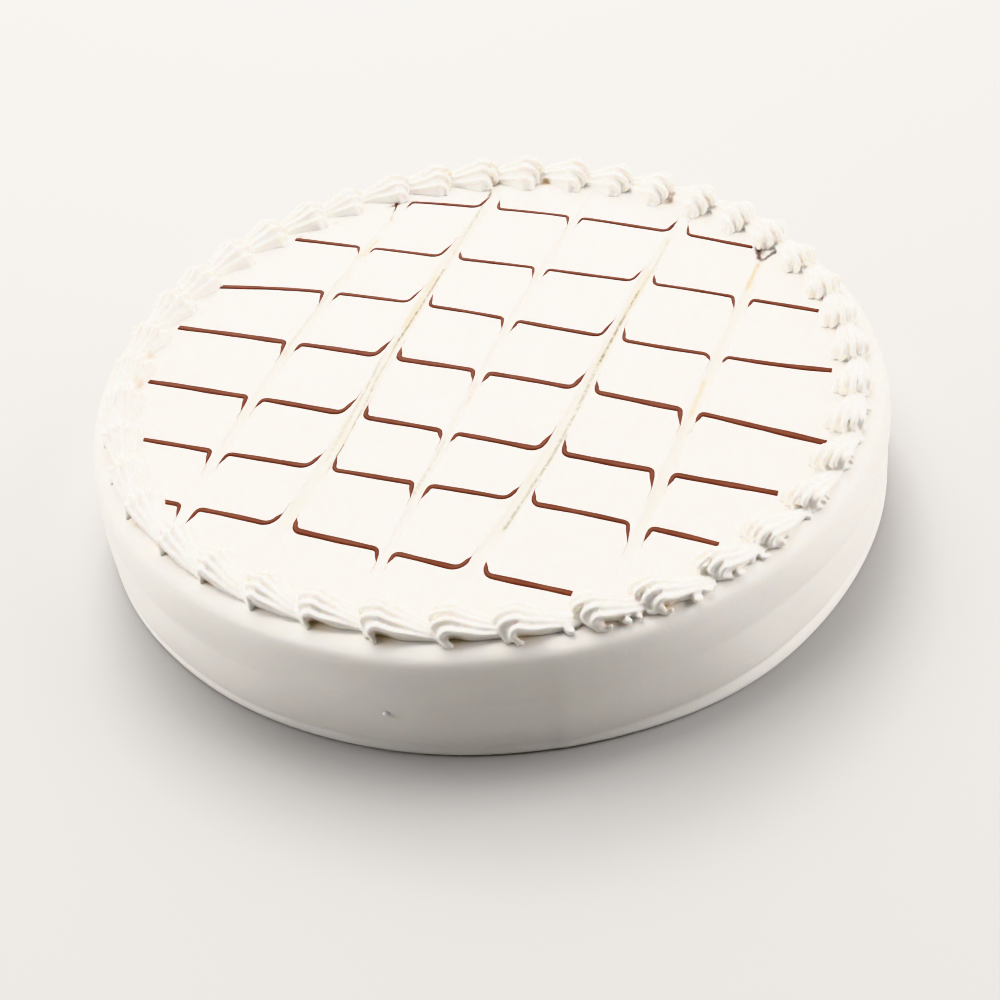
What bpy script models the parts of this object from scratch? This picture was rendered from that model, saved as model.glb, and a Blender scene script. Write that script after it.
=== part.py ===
"""Round tres leches cake, uncut, under smooth whipped icing.

Two pieces: the iced cake with its pulled grooves and thin chocolate lines,
and the piped border of overlapping star-tip shells round its top edge.
Metres, +Z up. The origin is the middle of the cake's flat underside.
"""
import math
import random

import bmesh
import bpy

# Driving dimensions, in metres
CAKE_RADIUS = 0.127          # at the foot, the widest place
TOP_HEIGHT = 0.0343          # flat iced top above the underside
PIECE_GAP = 0.0003           # between the border and the cake
WELD = 0.00001               # corners closer than this are one corner
FLAT_ANGLE = math.radians(0.4)
SHARP_ANGLE = math.radians(40.0)
WALL_STEPS = 72              # flats round the wall

# Outline of the wall from the underside up, as shares of radius and height
WALL_OUTLINE = (
    (0.989, 0.000),          # edge of the flat underside
    (0.998, 0.025),          # foot band
    (0.997, 0.065),
    (0.990, 0.090),          # fine crease over the foot band
    (0.993, 0.135),
    (0.989, 0.320),
    (0.983, 0.470),
    (0.980, 0.540),          # soft crease half way up
    (0.981, 0.640),
    (0.977, 0.780),
    (0.968, 0.890),          # start of the rounded rim
    (0.954, 0.960),
    (0.930, 1.000),          # flat top begins
)
WALL_UNEVEN = 0.0004         # how far the spread icing wanders in and out
# Waves of that unevenness: how many round the wall, phase in radians, share,
# and how much the phase drifts from foot to top
WALL_WAVES = ((2.0, 0.6, 1.0, 0.0), (5.0, 2.0, 0.6, 3.0), (11.0, 0.0, 0.4, 4.0))
WAVE_TOP = 0.9               # from this share of the height up the waves stay alike
FOOT_BAND = 0.09             # height share of the foot band
FOOT_SPREAD = 0.0020         # icing pressed out along the foot at one place
FOOT_SPREAD_TURN = math.radians(298.0)
FOOT_SPREAD_WIDTH = math.radians(17.0)
CLEARANCE_START = 0.6        # height share where the border's clearance begins
CLEARANCE_LEAN = 0.3         # share of the gap that its top edge moves outward

# Pattern on top: lines run along one way, grooves are pulled across them.
# Each row says where one of them lies, in millimetres from the middle, at
# the four places in READING_PLACES along it.
PATTERN_TURN = math.radians(65.3)
READING_PLACES = (90.0, 30.0, -30.0, -90.0)
LINE_READINGS = (
    (79.1, 86.1, 85.4, 77.8),
    (49.2, 51.1, 51.7, 49.3),
    (17.4, 21.6, 19.2, 18.3),
    (-10.2, -8.3, -8.4, -12.1),
    (-39.3, -37.8, -37.8, -38.1),
    (-65.2, -62.6, -59.8, -61.3),
    (-88.5, -87.2, -88.1, -87.5),
)
GROOVE_READINGS = (
    (63.2, 63.7, 61.8, 55.4),
    (31.6, 31.8, 27.9, 26.0),
    (-3.4, -1.9, -3.5, -6.4),
    (-40.2, -36.4, -35.2, -29.6),
    (-73.6, -71.2, -69.1, -67.8),
)
PATTERN_RADIUS = 0.1055      # the pattern ends just under the border
LINE_WIDTHS = (0.00145, 0.00140, 0.00155, 0.00220, 0.00205, 0.00185, 0.00190)
LINE_HEIGHT = 0.0005
LINE_BURY = 0.0004
LINE_SINK = 0.0025           # a line thins down over this length to pass under the border
LINE_END_HEIGHT = 0.0001
GROOVE_WIDTHS = (0.0034, 0.0044, 0.0028, 0.0042, 0.0036)
GROOVE_DEPTH = 0.0006
GROOVE_OVERCUT = 0.0003      # the cutting wedge stands this far above the top
GROOVE_STATIONS = 13
GROOVE_FADE = 0.18           # share of its length over which a groove fades out
GROOVE_START = 0.02          # of that share, how much a groove has already at its ends
GROOVE_END_WIDTH = 0.5       # share of its width that a groove has at its ends
GROOVE_INSET = 0.0015        # a groove starts this far inside the border
TIP_CLEAR = 0.0001           # from a groove's edge to a line's tip
LEFT_BEND = 0.0036           # length along the line that a hook takes
RIGHT_BEND = 0.0026
LEFT_PULL = 0.0074           # how far the tips are drawn along the groove
RIGHT_PULL = 0.0054
PULL_SHARES = (1.0, 1.0, 1.0, 1.0, 1.0, 0.9, 0.6)
BEND_STEPS = 3
BEND_SHARE = 0.9             # of a short stretch, the most that its hooks take
TIP_THINNING = 0.8
TIP_HEIGHT = 0.4             # least share of a line's height, at a tip of no width
SHORTEST_LINE = 0.002

# Piped border. A shell is drawn in metres forward along the ring, outward
# from its middle and up from the iced top.
SHELL_COUNT = 41
SHELL_START = math.radians(227.2)
BORDER_RADIUS = 0.1145       # middle of the border
# Where round the ring the hand piping strays: degrees, metres outward, size
BORDER_READINGS = (
    (0.0, -0.0022, 1.00),
    (30.0, -0.0012, 1.08),
    (60.0, -0.0012, 1.18),
    (88.0, -0.0012, 1.18),
    (112.0, -0.0018, 1.00),
    (135.0, -0.0018, 1.08),
    (165.0, -0.0020, 1.02),
    (182.0, -0.0022, 0.98),
    (205.0, -0.0008, 0.98),
    (228.0, -0.0022, 0.98),
    (248.0, -0.0023, 1.02),
    (264.0, -0.0018, 1.04),
    (282.0, -0.0004, 0.96),
    (310.0, -0.0006, 0.92),
    (335.0, -0.0022, 0.98),
)
SHELL_HALF_WIDTH = 0.0066
SHELL_RISE = 0.0050          # crown above the middle of the section
SHELL_BACK = 0.0060          # how far the round head reaches back
SHELL_TAIL = 0.0160          # from the crown to the end of the tail
OUTER_LEVEL = 0.0026         # the shell's outer edge above the top, at the crown
TAIL_LEVEL = 0.0014          # and at the end of the tail
INNER_LEVEL = 0.0003
FOOT_DEPTH = 0.0060          # the head's ridges run down this far to the rim
UNDERSIDE = -0.0006
TAIL_NARROWING = 0.62
TAIL_DROP = 0.72
TAIL_DRIFT = 0.0010          # the tail leans out over the rim
ARCH_START = 0.15            # outward share at which the tail's underside lifts
ROUNDNESS = 0.7              # under 1 makes the section fuller
FOOT_ROUNDNESS = 0.5
BACK_ROUNDNESS = 0.8
TAIL_STATIONS = (0.0, 0.10, 0.50, 1.0)
HEAD_ANGLES = tuple(math.radians(a) for a in (45.0, 5.0, -50.0))
UNDER_ANGLES = tuple(math.radians(a) for a in (235.0, 305.0))
RIDGE_COUNT = 5
RIDGE_DEPTH = 0.22
SIZE_SPREAD = 0.05
RADIUS_SPREAD = 0.0003
TURN_SPREAD = math.radians(0.5)
YAW_SPREAD = 0.06            # metres outward for each metre back

random.seed(38)


def clear_scene():
    for item in list(bpy.data.objects):
        bpy.data.objects.remove(item, do_unlink=True)


def make_material(name, colour, roughness):
    material = bpy.data.materials.new(name)
    material.use_nodes = True
    shader = material.node_tree.nodes["Principled BSDF"]
    shader.inputs["Base Color"].default_value = (*colour, 1.0)
    shader.inputs["Roughness"].default_value = roughness
    shader.inputs["Metallic"].default_value = 0.0
    return material


def make_object(name, points, faces):
    mesh = bpy.data.meshes.new(name)
    mesh.from_pydata(points, [], faces)
    shape = bmesh.new()
    shape.from_mesh(mesh)
    bmesh.ops.recalc_face_normals(shape, faces=shape.faces)
    shape.to_mesh(mesh)
    shape.free()
    item = bpy.data.objects.new(name, mesh)
    bpy.context.scene.collection.objects.link(item)
    return item


def wander(angle, share):
    """Unevenness of the spread icing at a place on the wall, in metres."""
    wave = sum(
        part * math.sin(count * angle + phase + drift * share)
        for count, phase, part, drift in WALL_WAVES
    )
    away = (angle - FOOT_SPREAD_TURN) / FOOT_SPREAD_WIDTH
    foot = FOOT_SPREAD * math.exp(-away ** 2) * max(0.0, 1.0 - share / FOOT_BAND)
    return WALL_UNEVEN * wave * math.sin(math.pi * min(share, WAVE_TOP)) + foot


def turned_solid(name, outline):
    """Closed solid of revolution from (radius, height, share) rows."""
    points = []
    faces = []
    for radius, height, share in outline:
        for step in range(WALL_STEPS):
            angle = 2.0 * math.pi * step / WALL_STEPS
            reach = radius + wander(angle, share)
            points.append((reach * math.cos(angle), reach * math.sin(angle), height))
    for row in range(len(outline) - 1):
        low = row * WALL_STEPS
        high = low + WALL_STEPS
        for step in range(WALL_STEPS):
            after = (step + 1) % WALL_STEPS
            faces.append((low + step, low + after, high + after, high + step))
    last = (len(outline) - 1) * WALL_STEPS
    faces.append(tuple(reversed(range(WALL_STEPS))))
    faces.append(tuple(range(last, last + WALL_STEPS)))
    return make_object(name, points, faces)


def cake_outline():
    return [(r * CAKE_RADIUS, h * TOP_HEIGHT, h) for r, h in WALL_OUTLINE]


def offset_outline(gap):
    """Upper half of the wall outline, moved outward by the gap."""
    rows = [row for row in cake_outline() if row[2] > CLEARANCE_START]
    moved = [(rows[0][0] + gap, rows[0][1], rows[0][2])]
    for before, here, after in zip(rows, rows[1:], rows[2:]):
        run = after[0] - before[0]
        rise = after[1] - before[1]
        size = math.hypot(run, rise)
        moved.append((here[0] + gap * rise / size, here[1] - gap * run / size, here[2]))
    top = rows[-1]
    moved.append((top[0] + CLEARANCE_LEAN * gap, top[1] + gap, top[2]))
    return moved


def pattern_point(across, along, height):
    """From the pattern's own directions to the cake's X and Y."""
    cos_turn = math.cos(PATTERN_TURN)
    sin_turn = math.sin(PATTERN_TURN)
    x = along * cos_turn - across * sin_turn
    y = along * sin_turn + across * cos_turn
    return (x, y, height)


def curve_through(readings, place):
    """Smooth curve through readings, both in metres but the readings in mm."""
    total = 0.0
    for i, reading in enumerate(readings):
        weight = 1.0
        for j, other in enumerate(READING_PLACES):
            if j != i:
                weight *= (1000.0 * place - other) / (READING_PLACES[i] - other)
        total += weight * reading
    return total / 1000.0


def groove_across(index, along):
    """Where a hand-drawn groove lies across the pattern."""
    return curve_through(GROOVE_READINGS[index], along)


def line_along(index, across):
    """How far along the pattern a line lies."""
    return curve_through(LINE_READINGS[index], across)


def groove_pull(index):
    """Grooves are drawn in turns: first toward one side, then the other."""
    return -1.0 if index % 2 == 0 else 1.0


def tip_gap(index):
    """From a groove's middle to the tips of the lines beside it."""
    return 0.5 * GROOVE_WIDTHS[index] + TIP_CLEAR


def half_chord(offset):
    return math.sqrt(max(PATTERN_RADIUS ** 2 - offset ** 2, 0.0))


def border_reach(index, side):
    """Where a line meets the border, across the pattern."""
    reach = half_chord(line_along(index, 0.0))
    for _ in range(4):
        reach = half_chord(line_along(index, side * reach))
    return side * reach


def strip_solid(name, centre, widths, heights, depths):
    """Closed bead or wedge along a path on the top: three corners a station."""
    points = []
    faces = []
    count = len(centre)
    for i, (across, along) in enumerate(centre):
        before = centre[max(i - 1, 0)]
        after = centre[min(i + 1, count - 1)]
        run = (after[0] - before[0], after[1] - before[1])
        size = math.hypot(*run)
        side = (-run[1] / size, run[0] / size)
        half = 0.5 * widths[i]
        points.append(pattern_point(across + side[0] * half, along + side[1] * half, depths[i]))
        points.append(pattern_point(across - side[0] * half, along - side[1] * half, depths[i]))
        points.append(pattern_point(across, along, heights[i]))
    for i in range(count - 1):
        for j in range(3):
            k = (j + 1) % 3
            faces.append((3 * i + j, 3 * i + k, 3 * i + 3 + k, 3 * i + 3 + j))
    faces.append((0, 2, 1))
    faces.append((3 * count - 3, 3 * count - 2, 3 * count - 1))
    return make_object(name, points, faces)


def make_groove(index):
    """Wedge that cuts one shallow groove, fading out at both ends."""
    reach = half_chord(groove_across(index, 0.0)) - GROOVE_INSET
    widen = 1.0 + GROOVE_OVERCUT / GROOVE_DEPTH
    centre = []
    widths = []
    lows = []
    for i in range(GROOVE_STATIONS):
        share = i / (GROOVE_STATIONS - 1)
        along = reach * (2.0 * share - 1.0)
        fade = min(1.0, (min(share, 1.0 - share) + GROOVE_START) / GROOVE_FADE)
        centre.append((groove_across(index, along), along))
        spread = GROOVE_END_WIDTH + (1.0 - GROOVE_END_WIDTH) * fade
        widths.append(GROOVE_WIDTHS[index] * widen * spread)
        lows.append(TOP_HEIGHT - GROOVE_DEPTH * fade)
    tops = [TOP_HEIGHT + GROOVE_OVERCUT] * GROOVE_STATIONS
    return strip_solid(f"groove_{index}", centre, widths, lows, tops)


def hook_stations(index, groove, side, room):
    """Hook at one end of a line: (across, along, width share, height) rows
    from its tip back to the straight run."""
    pull = groove_pull(groove) * PULL_SHARES[index] * (LEFT_PULL if side < 0.0 else RIGHT_PULL)
    bend = min(LEFT_BEND if side < 0.0 else RIGHT_BEND, room)
    tip = groove_across(groove, line_along(index, 0.0) + pull) - side * tip_gap(groove)
    rows = []
    for i in range(BEND_STEPS + 1):
        turn = 0.5 * math.pi * i / BEND_STEPS
        across = tip - side * bend * (1.0 - math.cos(turn))
        along = line_along(index, across) + pull * (1.0 - math.sin(turn))
        thin = 1.0 - TIP_THINNING * (1.0 - i / BEND_STEPS) ** 2
        rows.append((across, along, thin, LINE_HEIGHT * (TIP_HEIGHT + (1.0 - TIP_HEIGHT) * thin)))
    return rows


def border_stations(index, side):
    """End of a line that thins down to pass under the border."""
    end = border_reach(index, side)
    inner = end - side * LINE_SINK
    return [
        (end, line_along(index, end), 1.0, LINE_END_HEIGHT),
        (inner, line_along(index, inner), 1.0, LINE_HEIGHT),
    ]


def line_end(index, groove, side):
    """Where a stretch of line ends: at a groove, or at the border for None."""
    if groove is None:
        return border_reach(index, side)
    return groove_across(groove, line_along(index, 0.0)) - side * tip_gap(groove)


def make_line(index, left, right):
    """One stretch of chocolate line between two grooves, or a groove and
    the border. None stands for the border."""
    length = line_end(index, left, 1.0) - line_end(index, right, -1.0)
    hooks = 2 - (left, right).count(None)
    room = BEND_SHARE * (length - LINE_SINK * (2 - hooks)) / hooks
    stations = []
    for groove, side in ((left, 1.0), (right, -1.0)):
        if groove is None:
            rows = border_stations(index, side)
        else:
            rows = hook_stations(index, groove, side, room)
        stations.extend(rows if side > 0.0 else reversed(rows))
    widen = 1.0 + LINE_BURY / LINE_HEIGHT
    centre = [(across, along) for across, along, _, _ in stations]
    widths = [LINE_WIDTHS[index] * widen * thin for _, _, thin, _ in stations]
    tops = [TOP_HEIGHT + height for _, _, _, height in stations]
    lows = [TOP_HEIGHT - LINE_BURY] * len(stations)
    return strip_solid(f"line_{index}", centre, widths, tops, lows)


def line_stretches():
    """Every stretch that shows inside the border."""
    for index in range(len(LINE_READINGS)):
        along = line_along(index, 0.0)
        inside = []
        for groove in range(len(GROOVE_READINGS)):
            across = groove_across(groove, along)
            side = 1.0 if across > 0.0 else -1.0
            taken = tip_gap(groove) + LINE_SINK + SHORTEST_LINE
            if abs(across) + taken < abs(border_reach(index, side)):
                inside.append(groove)
        borders = [None, *inside, None]
        for left, right in zip(borders, borders[1:]):
            yield index, left, right


def along_ring(angle):
    """How far out the piping strays at an angle, and how large its shells are."""
    degrees = math.degrees(angle) % 360.0
    first = BORDER_READINGS[0]
    rows = BORDER_READINGS + ((first[0] + 360.0, *first[1:]),)
    for before, after in zip(rows, rows[1:]):
        if before[0] <= degrees <= after[0]:
            share = (degrees - before[0]) / (after[0] - before[0])
            ease = 0.5 - 0.5 * math.cos(math.pi * share)
            return [low + ease * (high - low) for low, high in zip(before[1:], after[1:])]


def ridge(turn):
    """Reach share round a shell: crests with valleys between them."""
    return 1.0 - RIDGE_DEPTH * (1.0 - abs(math.sin(RIDGE_COUNT * turn)))


def section_level(turn):
    """Height of the section's middle, higher on the outer side."""
    return INNER_LEVEL + (OUTER_LEVEL - INNER_LEVEL) * (0.5 + 0.5 * math.cos(turn))


def tail_point(size, turn, share):
    """Point of a shell's loop: forward, outward, up. The share runs from the
    crown to the end of the tail."""
    width = SHELL_HALF_WIDTH * size * (1.0 - TAIL_NARROWING * share)
    outer = 0.5 + 0.5 * math.cos(turn)
    level = section_level(turn) + (TAIL_LEVEL - OUTER_LEVEL) * share * outer
    lift = abs(math.sin(turn))
    if turn <= math.pi:
        grow = ridge(turn)
        up = level + SHELL_RISE * size * (1.0 - TAIL_DROP * share) * grow * lift ** ROUNDNESS
    elif share == 0.0:
        grow = 1.0 - RIDGE_DEPTH
        up = level - FOOT_DEPTH * lift ** FOOT_ROUNDNESS
    else:
        grow = 1.0 - RIDGE_DEPTH
        arch = max(0.0, (math.cos(turn) - ARCH_START) / (1.0 - ARCH_START))
        up = UNDERSIDE + (level - UNDERSIDE) * arch
    return (SHELL_TAIL * share, TAIL_DRIFT * share + width * grow * math.cos(turn), up)


def head_point(size, turn, angle):
    """Point of the round head, whose ridges curl down to the rim behind."""
    grow = ridge(turn)
    lift = math.sin(turn)
    if angle > 0.0:
        reach = SHELL_RISE * size * grow * lift ** ROUNDNESS
    else:
        reach = FOOT_DEPTH * lift ** FOOT_ROUNDNESS
    return (
        -SHELL_BACK * size * grow * lift ** BACK_ROUNDNESS * math.cos(angle) ** BACK_ROUNDNESS,
        SHELL_HALF_WIDTH * size * grow * math.cos(turn),
        section_level(turn) + reach * math.sin(angle),
    )


def make_shell(index):
    """One piped shell: a round ridged head and a tail tucked under the next."""
    spread = 2.0 * math.pi * index / SHELL_COUNT + SHELL_START
    crown = spread + random.uniform(-TURN_SPREAD, TURN_SPREAD)
    stray, scale = along_ring(crown)
    size = scale * (1.0 + random.uniform(-SIZE_SPREAD, SIZE_SPREAD))
    radius = BORDER_RADIUS + stray + random.uniform(-RADIUS_SPREAD, RADIUS_SPREAD)
    yaw = random.uniform(-YAW_SPREAD, YAW_SPREAD)

    def place(point):
        forward, outward, up = point
        angle = crown + forward / BORDER_RADIUS
        reach = radius + outward - yaw * forward
        return (reach * math.cos(angle), reach * math.sin(angle), TOP_HEIGHT + up)

    upper = [math.pi * i / (2 * RIDGE_COUNT) for i in range(2 * RIDGE_COUNT + 1)]
    loop = upper + list(UNDER_ANGLES)
    around = len(loop)
    top = len(upper)
    points = []
    faces = []
    for share in TAIL_STATIONS:
        points.extend(place(tail_point(size, turn, share)) for turn in loop)
    for row in range(len(TAIL_STATIONS) - 1):
        for i in range(around):
            k = (i + 1) % around
            here = row * around
            faces.append((here + i, here + k, here + around + k, here + around + i))
    end = (len(TAIL_STATIONS) - 1) * around
    faces.append(tuple(range(end, end + around)))

    rows = [list(range(top))]
    for angle in HEAD_ANGLES:
        row = [0]
        for turn in upper[1:-1]:
            row.append(len(points))
            points.append(place(head_point(size, turn, angle)))
        row.append(top - 1)
        rows.append(row)
    for here, after in zip(rows, rows[1:]):
        for i in range(top - 1):
            corners = [here[i], here[i + 1], after[i + 1], after[i]]
            faces.append(tuple(dict.fromkeys(corners)))
    faces.append(tuple(rows[-1]) + tuple(range(top, around)))
    return make_object(f"shell_{index}", points, faces)


def combine(target, others, operation):
    """One Boolean of all the others with the target, applied."""
    group = bpy.data.collections.new(f"{target.name}_{operation.lower()}")
    bpy.context.scene.collection.children.link(group)
    for item in others:
        bpy.context.scene.collection.objects.unlink(item)
        group.objects.link(item)
    modifier = target.modifiers.new(operation.lower(), "BOOLEAN")
    modifier.operation = operation
    modifier.operand_type = "COLLECTION"
    modifier.collection = group
    modifier.solver = "EXACT"
    graph = bpy.context.evaluated_depsgraph_get()
    result = bpy.data.meshes.new_from_object(target.evaluated_get(graph))
    target.modifiers.clear()
    target.data = result
    for item in others:
        bpy.data.objects.remove(item, do_unlink=True)
    bpy.data.collections.remove(group)


def keep_largest(item):
    """Drop loose scraps, keeping the largest connected body."""
    shape = bmesh.new()
    shape.from_mesh(item.data)
    bmesh.ops.remove_doubles(shape, verts=shape.verts, dist=WELD)
    bmesh.ops.dissolve_limit(shape, angle_limit=FLAT_ANGLE, verts=shape.verts, edges=shape.edges)
    bmesh.ops.triangulate(shape, faces=shape.faces)
    shape.verts.ensure_lookup_table()
    unseen = set(shape.verts)
    bodies = []
    while unseen:
        seed = unseen.pop()
        body = {seed}
        edge_of_search = [seed]
        while edge_of_search:
            vertex = edge_of_search.pop()
            for edge in vertex.link_edges:
                other = edge.other_vert(vertex)
                if other in unseen:
                    unseen.discard(other)
                    body.add(other)
                    edge_of_search.append(other)
        bodies.append(body)
    bodies.sort(key=len)
    scraps = [vertex for body in bodies[:-1] for vertex in body]
    bmesh.ops.delete(shape, geom=scraps, context="VERTS")
    shape.to_mesh(item.data)
    shape.free()


def finish(item, material):
    item.data.materials.clear()
    item.data.materials.append(material)
    item.data.shade_smooth()
    item.data.set_sharp_from_angle(angle=SHARP_ANGLE)


clear_scene()
cake_icing = make_material("cake_icing", (0.90, 0.87, 0.81), 0.55)
border_icing = make_material("border_icing", (0.91, 0.88, 0.83), 0.50)

cake = turned_solid("iced_cake", cake_outline())
combine(cake, [make_groove(i) for i in range(len(GROOVE_READINGS))], "DIFFERENCE")
combine(cake, [make_line(*stretch) for stretch in line_stretches()], "UNION")
keep_largest(cake)
finish(cake, cake_icing)

shells = [make_shell(i) for i in range(SHELL_COUNT)]
border = shells[0]
border.name = "shell_border"
combine(border, shells[1:], "UNION")
combine(border, [turned_solid("cake_top_clearance", offset_outline(PIECE_GAP))], "DIFFERENCE")
keep_largest(border)
finish(border, border_icing)
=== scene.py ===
"""Looks of the round tres leches cake: smooth white whipped icing, hand-drawn
chocolate lines feathered by pulled grooves, and a piped star-tip shell border.
"""
import math
import random

import bmesh
import bpy
import numpy as np
from mathutils import Matrix, Vector, noise
from mathutils.geometry import delaunay_2d_cdt


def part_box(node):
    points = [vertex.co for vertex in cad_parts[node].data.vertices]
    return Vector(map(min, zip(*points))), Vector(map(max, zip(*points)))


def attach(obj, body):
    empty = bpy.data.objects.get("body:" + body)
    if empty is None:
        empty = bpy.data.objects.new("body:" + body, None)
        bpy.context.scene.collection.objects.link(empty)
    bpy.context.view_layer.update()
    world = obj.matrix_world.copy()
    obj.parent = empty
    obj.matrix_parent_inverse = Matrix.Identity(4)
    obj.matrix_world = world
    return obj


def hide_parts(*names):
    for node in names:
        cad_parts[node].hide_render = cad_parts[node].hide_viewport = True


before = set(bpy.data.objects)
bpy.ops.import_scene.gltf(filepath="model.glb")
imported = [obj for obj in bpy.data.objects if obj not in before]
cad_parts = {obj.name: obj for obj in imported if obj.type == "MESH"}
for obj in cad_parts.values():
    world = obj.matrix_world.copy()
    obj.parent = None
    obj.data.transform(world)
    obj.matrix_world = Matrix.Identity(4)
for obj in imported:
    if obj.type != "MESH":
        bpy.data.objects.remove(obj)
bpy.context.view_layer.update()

cake_low, cake_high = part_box("iced_cake")

# The cake's own sizes, in metres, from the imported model
LINE_HEIGHT = 0.0005
WIDEST_SHARE = 0.998         # the foot band's widest place, as a share of the radius
CAKE_RADIUS = 0.5 * (cake_high.x - cake_low.x) / WIDEST_SHARE
TOP_HEIGHT = cake_high.z - LINE_HEIGHT

# Outline of the wall from the underside up, as shares of radius and height
WALL_OUTLINE = (
    (0.989, 0.000),
    (0.998, 0.025),
    (0.997, 0.065),
    (0.990, 0.090),
    (0.993, 0.135),
    (0.989, 0.320),
    (0.983, 0.470),
    (0.980, 0.540),
    (0.981, 0.640),
    (0.977, 0.780),
    (0.968, 0.890),
    (0.954, 0.960),
    (0.930, 1.000),
)
# The foot band's crease comes and goes: shares of the radius where it is gone,
# at the heights of the second to fifth places above
FLUSH_FOOT = (0.9975, 0.9965, 0.9955, 0.9945)
CREASE_PLACES = ((228.0, 22.0, 1.0), (312.0, 18.0, 0.75), (20.0, 30.0, 0.5), (120.0, 40.0, 0.6))
CREASE_LEAST = 0.12
CREASE_RAGGED = 0.25         # how far noise changes its depth
CURVE_STEPS = 24             # of the outline, between two of its places
RIM_RUN = 0.004              # how far the outline would go on inward past its last place
WALL_UNEVEN = 0.0004
# Waves of that unevenness: how many round the wall, phase in radians, share,
# and how much the phase drifts from foot to top
WALL_WAVES = ((2.0, 0.6, 1.0, 0.0), (5.0, 2.0, 0.6, 3.0), (11.0, 0.0, 0.4, 4.0))
WAVE_TOP = 0.9
LAP_TURN = math.radians(94.0)    # where the spatula lifted off, on two sides
LAP_STEP = 0.00045
LAP_WIDTH = 0.008            # radians over which that step rises
LAP_FADE = 0.14              # and over which it fades again
# Marks of the spatula in the wall: depth and size in metres, how many times
# finer they are in height, and a shift of their noise
SOFT_MARKS = (0.00055, 0.034, 2.2, (0.0, 0.0, 0.0))
LONG_MARKS = (0.00016, 0.045, 9.0, (4.0, 1.0, 2.0))
FINE_MARKS = (0.00004, 0.030, 30.0, (1.0, 7.0, 3.0))
MARK_RISE = 0.004            # how far the longer ones rise and fall round the wall
MARK_PHASE = 0.7
MARK_FOOT = (0.0, 0.05)      # shares of the height over which the marks set in
MARK_RIM = (0.96, 1.0)       # and over which they end
FOOT_BAND = 0.09
FOOT_SPREAD = 0.0020
FOOT_SPREAD_TURN = math.radians(298.0)
FOOT_SPREAD_WIDTH = math.radians(17.0)
# A crumb on the wall: its place, and its half sizes round, outward and up
CRUMB_TURN = math.radians(254.2)
CRUMB_HEIGHT = 0.0147
CRUMB_RADIUS = 0.1249
CRUMB_SIZE = (0.0011, 0.0010, 0.0009)
CRUMB_LUMPS = 0.25
CRUMB_LUMP_SCALE = 1.4
WALL_ROWS = 72
WALL_STEPS = 440
FOOT_CROWDING = 1.25         # over 1 puts the wall's rows closer together at the foot

# The top's mesh is in rings from here out to the rim
RING_START = 0.1085
RING_STEP = 0.0008
RING_SPACING = 0.0009
RING_GAP = 0.0005            # kept clear on either side of the rings
# The rest is a grid along the pattern: rows along it, and places across from
# each groove in millimetres, close together beside it
GRID_REACH = 0.1175
GRID_STEP = 0.0010
NEAR_PLACES = tuple(0.3 * step for step in range(1, 9))
FAR_PLACES = (2.9, 3.4, 4.1, 5.0)
GRID_EDGE = 0.118
GROOVE_ROOM = 0.0066         # on each side of a groove, where no other points lie
GRID_SPACING = 0.0018
JOIN_DISTANCE = 1e-7
# Soft swelling of the top, which ends between these distances from the middle
SWELL_DEPTH = 0.00012
SWELL_SIZE = 0.035
SWELL_END = (0.100, 0.1165)

# Pattern on top: where each line and groove lies, in millimetres from the
# middle, at the four places in READING_PLACES along it
PATTERN_TURN = math.radians(65.3)
READING_PLACES = (90.0, 30.0, -30.0, -90.0)
LINE_READINGS = (
    (79.1, 86.1, 85.4, 77.8),
    (49.2, 51.1, 51.7, 49.3),
    (17.4, 21.6, 19.2, 18.3),
    (-10.2, -8.3, -8.4, -12.1),
    (-39.3, -37.8, -37.8, -38.1),
    (-65.2, -62.6, -59.8, -61.3),
    (-88.5, -87.2, -88.1, -87.5),
)
GROOVE_READINGS = (
    (63.2, 63.7, 61.8, 55.4),
    (31.6, 31.8, 27.9, 26.0),
    (-3.4, -1.9, -3.5, -6.4),
    (-40.2, -36.4, -35.2, -29.6),
    (-73.6, -71.2, -69.1, -67.8),
)
GROOVE_WIDTHS = (0.0034, 0.0044, 0.0028, 0.0042, 0.0036)
GROOVE_DEPTH = 0.00060
GROOVE_TINTS = (0.50, 0.75, 0.25, 0.70, 0.60)
TINT_EDGE = (0.5, 1.15)      # shares of a groove's half width over which its tint ends
TINT_EVEN = 0.75             # share of the tint that stays where it is patchy
TINT_PATCHES = 0.5
PATCH_SIZE = 0.012
CHANNEL_EDGE = (0.35, 1.15)  # and over which its floor rises
GROOVE_SHORT = 0.0015        # how far a groove ends before the pattern does
GROOVE_FADE = 0.030
FADE_LEAST = 0.25            # share of its depth that is left at its ends
LIP_PLACE = 1.45             # in half widths from its middle
LIP_WIDTH = 0.0008
# Colours of stains, smears and spots on the icing
OLIVE = (0.150, 0.115, 0.055)
GREY = (0.235, 0.215, 0.165)
YELLOW = (0.62, 0.47, 0.21)
PINK = (0.66, 0.52, 0.44)
BROWNISH = (0.46, 0.30, 0.12)
DARK = (0.058, 0.018, 0.007)
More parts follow.
